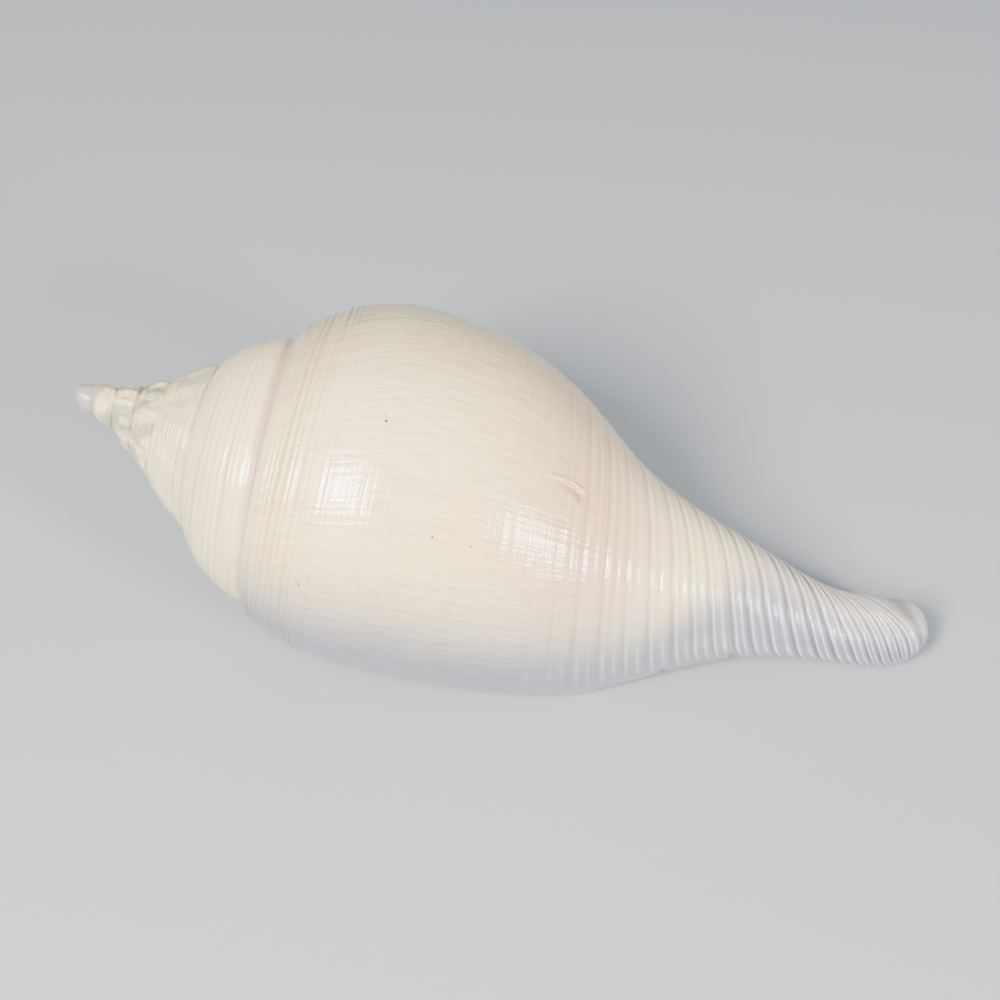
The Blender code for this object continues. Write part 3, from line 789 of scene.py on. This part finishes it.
def surface_fields(turn, line, side, along, relief):
    """Smooth masks over the surface that steer its colour and gloss."""
    # Each step, bell or share below says between which turns or lines its mask fades.
    age = grown(turn, line)
    inside = np.isin(side, (INSIDE, PILLAR)).astype(float)
    edge = (side == EDGE).astype(float)
    outside = 1 - np.clip(inside + edge, 0, 1)
    on_spire = step(turn, 0.94, 1.04) * (line < NEXT_SUTURE_LINE + 0.01)
    share = whorl_share(line)
    near_suture = bell(share, 0.0, 0.05) + bell(share, 1.0, 0.09)
    ditch = bell(share, 0.975, 0.045) * on_spire * (1 - step(turn, 2.2, 3.2))
    crest = ridges(thread_phase(line))
    mouth_side = step(turn, 0.84, 0.93) * (line > NEXT_SUTURE_LINE) * outside
    blush = bell(line, 66.0, 9.0) * step(age, 0.12, 0.22)
    rim = bell(line - SUTURE_LINE, RIM_AT, RIM_WIDTH) * (1 - step(turn, 1.7, 2.6))
    dirty = step(turn, 2.0, 3.0) * (1 - step(turn, 4.8, 5.4))
    on_cords = outside * (line > CORD_START)
    # Painted shade at the sides of the two notches in the lip edge.
    notch_shade = np.zeros(len(line))
    for centre, half, depth in LIP_CHIPS[:NOTCH_COUNT]:
        near = bell(line, centre, 0.7 * half)
        notch_shade = np.maximum(notch_shade, near * (1 - step(age - depth / 360.0, 0.0, 4.0 / 360.0)))
    return {
        # The zone near the lip gets a blue-grey that is partly its own tone and partly painted
        # shade.
        "near_lip": (1 - step(age - 0.13 * step(line, 72.0, 94.0), 0.09, 0.22)) * outside + edge,
        "notch_shade": notch_shade * (1 - inside),
        "canal": step(line, CANAL_LINE, NARROW_LINE),
        # The ridge mask lays a painted highlight on the crests of the cords.
        "ridge": np.clip((relief - 0.02) / 0.07, 0, 1) * on_cords,
        "base": step(line, 56.0, 74.0) * outside,
        # The rim mask lays a painted highlight along the rim below the first suture.
        "rim": rim * outside,
        "blush": blush * outside,
        # The crown mask darkens the upper side of the last whorl: partly its own tone, partly
        # painted shade.
        "crown": step(age, 0.3, 0.44) * (1 - on_spire) * outside,
        "spire": on_spire,
        "early": step(turn, 1.7, 3.4),
        "apex": 1 - step(along, 3.0, 4.4),
        "band": np.exp(-((line - 30.4) / 3.6) ** 4) * outside * (1 - on_spire) * crest,
        # The ditch mask darkens the channel before the first suture: partly its own tone, partly
        # painted shade.
        "ditch": ditch * outside,
        "glaze": np.clip(inside + mouth_side + 0.6 * edge, 0, 1),
        "suture": np.clip(near_suture, 0, 1) * outside * dirty,
        # The hollow mask lays painted shade in the grooves between the cords.
        "hollow": np.clip((-relief - 0.02) / 0.1, 0, 1) * on_cords,
    }


def show(thing):
    """Put an object into the scene."""
    bpy.context.scene.collection.objects.link(thing)
    return thing


def shell_piece():
    """The finished mesh of the shell, in metres, with its fields and spiral addresses."""
    lines = column_lines()
    skin = Skin()
    number = build_outside(skin, lines)
    build_hollow(skin, lines, number)
    points = rest_turn(skin.points)
    low = points.min(axis=0)
    high = points.max(axis=0)
    shift = np.array([(low[0] + high[0]) / 2, (low[1] + high[1]) / 2, low[2]])
    middle = (Vector(cad_box[0]) + Vector(cad_box[1])) / 2
    stand = np.array([middle.x, middle.y, cad_box[0][2]])
    points = (points - shift) * MM + stand

    mesh = bpy.data.meshes.new("shell_surface")
    mesh.from_pydata(points.tolist(), [], skin.faces)
    mesh.update()
    mesh.polygons.foreach_set("use_smooth", [True] * len(mesh.polygons))
    grain = mesh.uv_layers.new(name="grain")
    corners = np.array([corner for face in skin.addresses for corner in face])
    corners = np.stack([grown(corners[:, 0], corners[:, 1]) * TURN_LENGTH, corners[:, 1]], axis=-1)
    grain.data.foreach_set("uv", corners.astype(np.float32).ravel())

    turn = np.array(skin.turns)
    line = np.array(skin.lines)
    side = np.array(skin.sides)
    along, radius = section(turn, line)
    relief = np.where(side == OUTSIDE, surface_relief(turn, line, radius), 0.0)
    for name, values in surface_fields(turn, line, side, along, relief).items():
        layer = mesh.attributes.new(name, "FLOAT", "POINT")
        layer.data.foreach_set("value", np.asarray(values, np.float32))
    return show(bpy.data.objects.new("shell_surface", mesh)), shift, stand


def tone(red, green, blue):
    """Colour as seen on a screen, 0 to 255, in the renderer's linear units."""
    linear = []
    for value in (red, green, blue):
        share = value / 255.0
        linear.append(share / 12.92 if share < 0.04045 else ((share + 0.055) / 1.055) ** 2.4)
    return (*linear, 1.0)


# Colours of the shell, as they look on a screen.
CREAM = tone(249, 225, 163)
PALE_CREAM = tone(250, 234, 187)
WARM_CREAM = tone(247, 213, 154)
BAND_YELLOW = tone(248, 216, 138)
BLUSH = tone(214, 168, 132)
# Darker greenish tone of the upper side of the last whorl: partly its own tone, partly painted
# shade where that side turns away from the light.
CROWN_TONE_AND_SHADE = tone(198, 186, 150)
CANAL_WHITE = tone(162, 157, 166)
# Blue-grey of the zone near the lip: partly the lip's own cool tone, partly painted shade on the
# side turned down from the light.
LIP_TONE_AND_SHADE = tone(112, 120, 148)
# Pale crests of the cords: painted highlight where the crests catch the light.
RIDGE_HIGHLIGHT = tone(240, 234, 222)
# Pale rim below the first suture: painted highlight where the rim's edge catches the light.
RIM_HIGHLIGHT = tone(252, 242, 214)
SPIRE_WHITE = tone(242, 224, 176)
# Pinkish channel before the first suture: partly its own pinkish tone, partly painted shade in the
# hollow.
DITCH_TONE_AND_SHADE = tone(196, 158, 144)
EARLY_GREEN = tone(152, 156, 136)
APEX_PINK = tone(170, 158, 156)
GLAZE = tone(242, 206, 178)
# Darker tone that is painted shade in the cord grooves and the scar's hollow; the same colour also
# darkens the thread streaks and growth lines, which are the shell's own pattern.
GROOVE_SHADE_AND_LINES = tone(205, 190, 168)
# Painted shade in the grooves of the canal cords.
CANAL_GROOVE_SHADE = tone(142, 136, 154)
DIRT = tone(172, 152, 116)
# Dark brown of the specks and the crack; it also lays painted shade at the notches.
DARK_MARK_AND_NOTCH_SHADE = tone(58, 44, 32)
FLOOR_TONE = tone(150, 155, 164)
FLOOR_TONE_LIGHT = tone(156, 160, 168)

# Zones of colour in the order they are laid on: name of the field, how strongly, colour.  The
# rim's colour is a painted highlight; the crown's, the lip zone's and the ditch's colours are each
# partly their own tone and partly painted shade.
ZONES = [("rim", 0.65, RIM_HIGHLIGHT), ("blush", 0.75, BLUSH), ("crown", 0.55, CROWN_TONE_AND_SHADE),
         ("canal", 0.85, CANAL_WHITE), ("near_lip", 0.9, LIP_TONE_AND_SHADE), ("spire", 0.75, SPIRE_WHITE),
         ("ditch", 0.95, DITCH_TONE_AND_SHADE)]

# Glassy coat and the light that seeps into the shell.
GLOSS = {"IOR": 1.5, "Coat Weight": 1.0, "Coat IOR": 1.6, "Coat Roughness": 0.06,
         "Subsurface Weight": 0.12, "Subsurface Radius": (1.0, 0.7, 0.5),
         "Subsurface Scale": 0.0012}

# Depth of the fine relief in the finish, in metres.
THREAD_BUMP = 0.00016
FINE_THREAD_BUMP = 0.00003
GROWTH_BUMP = 0.00011
FINE_GROWTH_BUMP = 0.00002
GRAIN_BUMP = 0.000012
WRINKLE_BUMP = 0.00025
SCAR_BUMP = 0.00026

# Dark specks on the last whorl: turns back from the lip, spiral line, radius.
SPECKS = [(0.304, 40.55, 0.17), (0.3085, 40.3, 0.09), (0.228, 48.1, 0.13), (0.150, 34.45, 0.13),
          (0.1525, 34.3, 0.1), (0.229, 52.34, 0.1), (0.201, 54.99, 0.1), (0.291, 79.25, 0.13),
          (0.167, 73.48, 0.13), (0.265, 112.44, 0.2), (0.299, 63.54, 0.12)]

# The thin crack: turns back, the lines where it starts and ends, how far it wanders to
# either side, half its width.
CRACK_TURN = 0.40
CRACK_LINES = (31.5, 50.0)
CRACK_SWING = 1.2
CRACK_HALF_WIDTH = 0.22


class Finish:
    """A material and short ways to add nodes to it."""

    def __init__(self, name):
        self.material = bpy.data.materials.new(name)
        self.material.use_nodes = True
        self.tree = self.material.node_tree
        self.surface = self.tree.nodes["Principled BSDF"]

    def connect(self, value, socket):
        """Give an input a plain value, a node's output or, by a word, the field so named."""
        if isinstance(value, str):
            value = self.make("ShaderNodeAttribute", {}, output="Fac", attribute_name=value)
        if isinstance(value, bpy.types.NodeSocket):
            self.tree.links.new(value, socket)
        else:
            socket.default_value = value

    def make(self, kind, inputs, output=0, **settings):
        node = self.tree.nodes.new(kind)
        for key, value in settings.items():
            setattr(node, key, value)
        for key, value in inputs.items():
            self.connect(value, node.inputs[key])
        return node.outputs[output]

    def calc(self, operation, first, second=0.0, clamp=False):
        return self.make("ShaderNodeMath", {0: first, 1: second}, operation=operation,
                         use_clamp=clamp)

    def times(self, first, second):
        return self.calc("MULTIPLY", first, second)

    def reverse(self, value):
        return self.calc("SUBTRACT", 1.0, value)

    def gap(self, first, second):
        return self.calc("ABSOLUTE", self.calc("SUBTRACT", first, second))

    def part(self, vector, axis):
        return self.make("ShaderNodeSeparateXYZ", {0: vector}, output=axis)

    def distance(self, first, second):
        return self.make("ShaderNodeVectorMath", {0: first, 1: second}, output="Value",
                         operation="DISTANCE")

    def mix(self, share, first, second, blend="MIX"):
        return self.make("ShaderNodeMix", {0: share, 6: first, 7: second}, output=2,
                         data_type="RGBA", blend_type=blend)

    def darken(self, share, first, second):
        return self.mix(share, first, second, "MULTIPLY")

    def tint(self, colour, mask, amount, second):
        """Lay a second colour over the first where the mask is."""
        return self.mix(self.times(mask, amount), colour, second)

    def shade(self, colour, mask, amount, second):
        """Darken the colour by a second one where the mask is."""
        return self.darken(self.times(mask, amount), colour, second)

    def stretched(self, vector, scale):
        return self.make("ShaderNodeMapping", {"Vector": vector, "Scale": scale})

    def noise(self, vector, scale=1.0, detail=2.0, roughness=0.5):
        return self.make("ShaderNodeTexNoise", {"Vector": vector, "Scale": scale,
                                                "Detail": detail, "Roughness": roughness})

    def rise(self, value, low, high, top=1.0, bottom=0.0):
        return self.make("ShaderNodeMapRange", {"Value": value, 1: low, 2: high, 3: bottom,
                                                4: top}, interpolation_type="SMOOTHSTEP")

    def fall(self, value, low, high):
        return self.rise(value, low, high, top=0.0, bottom=1.0)

    def bump(self, height, depth, below=None):
        inputs = {"Height": height, "Strength": 1.0, "Distance": depth}
        if below is not None:
            inputs["Normal"] = below
        return self.make("ShaderNodeBump", inputs)

    def set(self, name, value):
        self.connect(value, self.surface.inputs[name])


def specks(finish, address):
    """Small dark spots at their places on the shell, as one mask."""
    total = 0.0
    for turn, line, size in SPECKS:
        spot = (float(grown(turn, line)) * TURN_LENGTH, line, 0.0)
        away = finish.distance(address, spot)
        total = finish.calc("MAXIMUM", total, finish.fall(away, size * 0.7, size * 1.3))
    return total


def hairline(finish, address):
    """Thin brownish growth crack along an old lip edge near the top of the whorl."""
    back = finish.part(address, "X")
    along = finish.part(address, "Y")
    home = float(grown(CRACK_TURN, CRACK_LINES[0])) * TURN_LENGTH
    wobble = finish.noise(finish.stretched(address, (0.0, 0.35, 0.0)), detail=3.0)
    swing = finish.times(wobble, 2 * CRACK_SWING)
    centre = finish.calc("ADD", home - CRACK_SWING, swing)
    thin = finish.fall(finish.gap(back, centre), 0.03, CRACK_HALF_WIDTH)
    start = finish.rise(along, CRACK_LINES[0], CRACK_LINES[0] + 3.0)
    end = finish.fall(along, CRACK_LINES[1] - 6.0, CRACK_LINES[1])
    return finish.times(thin, finish.times(start, end))


def scar(finish, address):
    """Height of the healed scar: a low crescent with a hollow under it."""
    centre = (float(grown(SCAR_TURN, SCAR_LINE)) * TURN_LENGTH - SCAR_RADIUS, SCAR_LINE, 0.0)
    across = finish.part(address, "Y")
    up = finish.part(address, "X")
    away = finish.distance(address, centre)
    from_curve = finish.calc("SUBTRACT", away, SCAR_RADIUS)
    length = finish.fall(finish.gap(across, SCAR_LINE), SCAR_HALF * 0.7, SCAR_HALF * 1.15)
    upper = finish.rise(up, centre[0], centre[0] + 1.0)
    ridge = finish.rise(finish.gap(from_curve, SCAR_RIDGE), 0.0, 0.6, top=0.0, bottom=0.5)
    hollow = finish.fall(finish.gap(from_curve, -SCAR_HOLLOW), 0.0, 1.1)
    deeper = finish.rise(finish.calc("SUBTRACT", across, SCAR_LINE), -2.0, 1.6, bottom=0.25)
    height = finish.calc("SUBTRACT", ridge, finish.times(hollow, deeper))
    return finish.times(finish.times(height, length), upper)


def shell_finish():
    """Cream shell: growth lines, spiral threads, stains, gloss and its small marks."""
    finish = Finish("shell_skin")
    address = finish.make("ShaderNodeUVMap", {}, uv_map="grain")
    solid = finish.make("ShaderNodeTexCoord", {}, output="Object")

    # Patterns that run along the whorl and across it.
    threads = finish.noise(finish.stretched(address, (0.02, 1.9, 1.0)), detail=2.5)
    fine_threads = finish.noise(finish.stretched(address, (0.05, 4.5, 1.0)), detail=1.5)
    growth = finish.noise(finish.stretched(address, (1.5, 0.05, 1.0)), detail=3.0)
    fine_growth = finish.noise(finish.stretched(address, (2.6, 0.3, 1.0)), detail=2.5)
    bands = finish.noise(finish.stretched(address, (0.09, 0.012, 1.0)), detail=2.0)
    clouds = finish.noise(solid, scale=45.0, detail=3.0)
    grain = finish.noise(solid, scale=900.0, detail=2.0)

    # Colour.
    colour = finish.mix(finish.rise(clouds, 0.35, 0.65), CREAM, PALE_CREAM)
    colour = finish.tint(colour, finish.rise(bands, 0.4, 0.68), 0.5, WARM_CREAM)
    yellow = finish.times("band", finish.rise(threads, 0.35, 0.6))
    colour = finish.tint(colour, yellow, 0.7, BAND_YELLOW)
    for name, amount, second in ZONES:
        colour = finish.tint(colour, name, amount, second)
    patches = finish.rise(finish.noise(solid, scale=300.0, detail=3.0), 0.4, 0.58)
    early = finish.times("early", patches)
    colour = finish.tint(colour, early, 0.85, EARLY_GREEN)
    colour = finish.mix("apex", colour, APEX_PINK)
    colour = finish.tint(colour, "glaze", 0.8, GLAZE)

    # Painted highlight on the cord crests, painted shade in the cord grooves, growth lines and
    # dirt.
    colour = finish.tint(colour, "ridge", 0.55, RIDGE_HIGHLIGHT)
    # Painted shade in the cord grooves, cooler on the canal.
    groove = finish.mix("canal", GROOVE_SHADE_AND_LINES, CANAL_GROOVE_SHADE)
    colour = finish.shade(colour, "hollow", 0.7, groove)
    sculpture = finish.calc("ADD", "spire", "band", clamp=True)
    streak_depth = finish.calc("ADD", finish.times(sculpture, 0.4), 0.12)
    streaks = finish.times(finish.rise(threads, 0.48, 0.7), streak_depth)
    colour = finish.darken(streaks, colour, GROOVE_SHADE_AND_LINES)
    calm = finish.calc("ADD", "spire", "base", clamp=True)
    lively = finish.reverse(finish.times(calm, 0.65))
    for pattern, low, high, top in ((fine_growth, 0.42, 0.66, 0.32), (growth, 0.3, 0.75, 0.25)):
        lines = finish.times(finish.rise(pattern, low, high, top=top), lively)
        colour = finish.darken(lines, colour, GROOVE_SHADE_AND_LINES)
    grime = finish.rise(finish.noise(solid, scale=500.0, detail=4.0), 0.35, 0.62)
    dirt = finish.times("suture", grime)
    colour = finish.shade(colour, dirt, 0.55, DIRT)
    early_dirt = finish.times(dirt, "early")
    colour = finish.shade(colour, early_dirt, 0.95, DIRT)

    # Marks.
    colour = finish.tint(colour, hairline(finish, address), 0.45, DARK_MARK_AND_NOTCH_SHADE)
    colour = finish.mix(specks(finish, address), colour, DARK_MARK_AND_NOTCH_SHADE)
    # Painted shade at the notches in the lip edge.
    colour = finish.tint(colour, "notch_shade", 0.75, DARK_MARK_AND_NOTCH_SHADE)
    mark = scar(finish, address)
    # Painted shade in the scar's hollow under its ridge.
    colour = finish.darken(finish.rise(mark, -0.1, -0.9, top=0.5), colour, GROOVE_SHADE_AND_LINES)
    finish.set("Base Color", colour)

    # Gloss: glazed inside the mouth, satin outside, duller where it is dirty.
    satin = finish.rise(clouds, 0.3, 0.7, top=0.55, bottom=0.45)
    rough = finish.make("ShaderNodeMix", {0: "glaze", 2: satin, 3: 0.25})
    rough = finish.calc("SUBTRACT", rough, finish.times("apex", 0.3))
    rough = finish.calc("ADD", rough, finish.times(dirt, 0.3))
    finish.set("Roughness", rough)
    for name, value in GLOSS.items():
        finish.set(name, value)

    # Fine relief.
    open_air = finish.reverse("glaze")
    not_apex = finish.reverse("apex")
    carved = finish.calc("ADD", open_air, finish.times(sculpture, 0.9))
    carved = finish.times(carved, not_apex)
    strength = finish.calc("ADD", finish.times(sculpture, 0.55), 0.45)
    carved = finish.times(carved, strength)
    across = finish.times(not_apex, lively)
    wrinkles = finish.noise(solid, scale=750.0, detail=3.0)
    wrinkles = finish.times(wrinkles, "early")
    normal = None
    for height, depth in (
            (finish.times(threads, carved), THREAD_BUMP),
            (finish.times(fine_threads, open_air), FINE_THREAD_BUMP),
            (finish.times(growth, across), GROWTH_BUMP),
            (finish.times(fine_growth, across), FINE_GROWTH_BUMP),
            (grain, GRAIN_BUMP),
            (finish.times(wrinkles, not_apex), WRINKLE_BUMP),
            (mark, SCAR_BUMP)):
        normal = finish.bump(height, depth, normal)
    finish.set("Normal", normal)
    finish.set("Coat Normal", normal)
    return finish.material


def floor_finish():
    """Plain pale matt floor with the faintest unevenness."""
    finish = Finish("floor")
    solid = finish.make("ShaderNodeTexCoord", {}, output="Object")
    clouds = finish.noise(solid, scale=3.0, detail=2.0)
    finish.set("Base Color", finish.mix(clouds, FLOOR_TONE, FLOOR_TONE_LIGHT))
    finish.set("Roughness", 0.85)
    return finish.material


def window(name, towards, distance, size, power, colour):
    """Soft rectangular light that shines on the shell from a direction in its own frame."""
    towards = Vector(rest_turn([towards])[0]).normalized()
    data = bpy.data.lights.new(name, "AREA")
    data.shape = "RECTANGLE"
    data.size, data.size_y = size
    data.energy = power
    data.color = colour
    lamp = bpy.data.objects.new(name, data)
    lamp.location = Vector(LIGHT_AIM) + towards * distance
    lamp.rotation_mode = "QUATERNION"
    lamp.rotation_quaternion = towards.to_track_quat("Z", "Y")
    return show(lamp)


def photo_camera(shift, stand):
    """Camera that looks straight at the back of the shell, as in the photo."""
    tilt = math.radians(PHOTO_TILT)
    right = np.array([math.cos(tilt), math.sin(tilt), 0.0])
    up = np.array([-math.sin(tilt), math.cos(tilt), 0.0])
    back = np.array([0.0, 0.0, 1.0])
    half = PHOTO_WIDTH / 2.0
    aim = (right * (half - PHOTO_APEX[0]) + up * (PHOTO_APEX[1] - half)) * PHOTO_SCALE
    place_own = aim + back * CAMERA_DISTANCE
    where = (rest_turn([place_own])[0] - shift) * MM + stand
    axes = [Vector(axis) for axis in rest_turn([right, up, back])]
    data = bpy.data.cameras.new("photo_view")
    data.lens = data.sensor_width * CAMERA_DISTANCE / (PHOTO_WIDTH * PHOTO_SCALE)
    data.clip_start = NEAR_CLIP
    data.clip_end = FAR_CLIP
    camera = bpy.data.objects.new("photo_view", data)
    turned = Matrix(axes).transposed().to_4x4()
    turned.translation = Vector(where)
    camera.matrix_world = turned
    bpy.context.scene.camera = show(camera)


piece, shift, stand = shell_piece()
piece.data.materials.append(shell_finish())
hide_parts("shell")
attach(piece, "root")

floor_mesh = bpy.data.meshes.new("floor")
floor_corners = [(x * HALF_FLOOR, y * HALF_FLOOR, 0.0)
                 for x, y in ((-1, -1), (1, -1), (1, 1), (-1, 1))]
floor_mesh.from_pydata(floor_corners, [], [(0, 1, 2, 3)])
floor_mesh.materials.append(floor_finish())
floor = show(bpy.data.objects.new("floor", floor_mesh))

window("window_left", (-0.42, -0.13, 0.92), WINDOW_DISTANCE, (0.1, 0.2), 7.8, WINDOW_COLOUR)
window("window_right", (0.66, 0.0, 0.72), WINDOW_DISTANCE, (0.08, 0.14), 3.9, WINDOW_COLOUR)
front = window("soft_front", (-0.1, 0.0, 1.0), FRONT_DISTANCE, (0.9, 0.9), 3.5, FRONT_COLOUR)
front.visible_glossy = False

world = bpy.data.worlds.new("room")
world.use_nodes = True
room = world.node_tree.nodes["Background"]
room.inputs["Color"].default_value = ROOM_COLOUR
room.inputs["Strength"].default_value = ROOM_STRENGTH
bpy.context.scene.world = world

photo_camera(shift, stand)
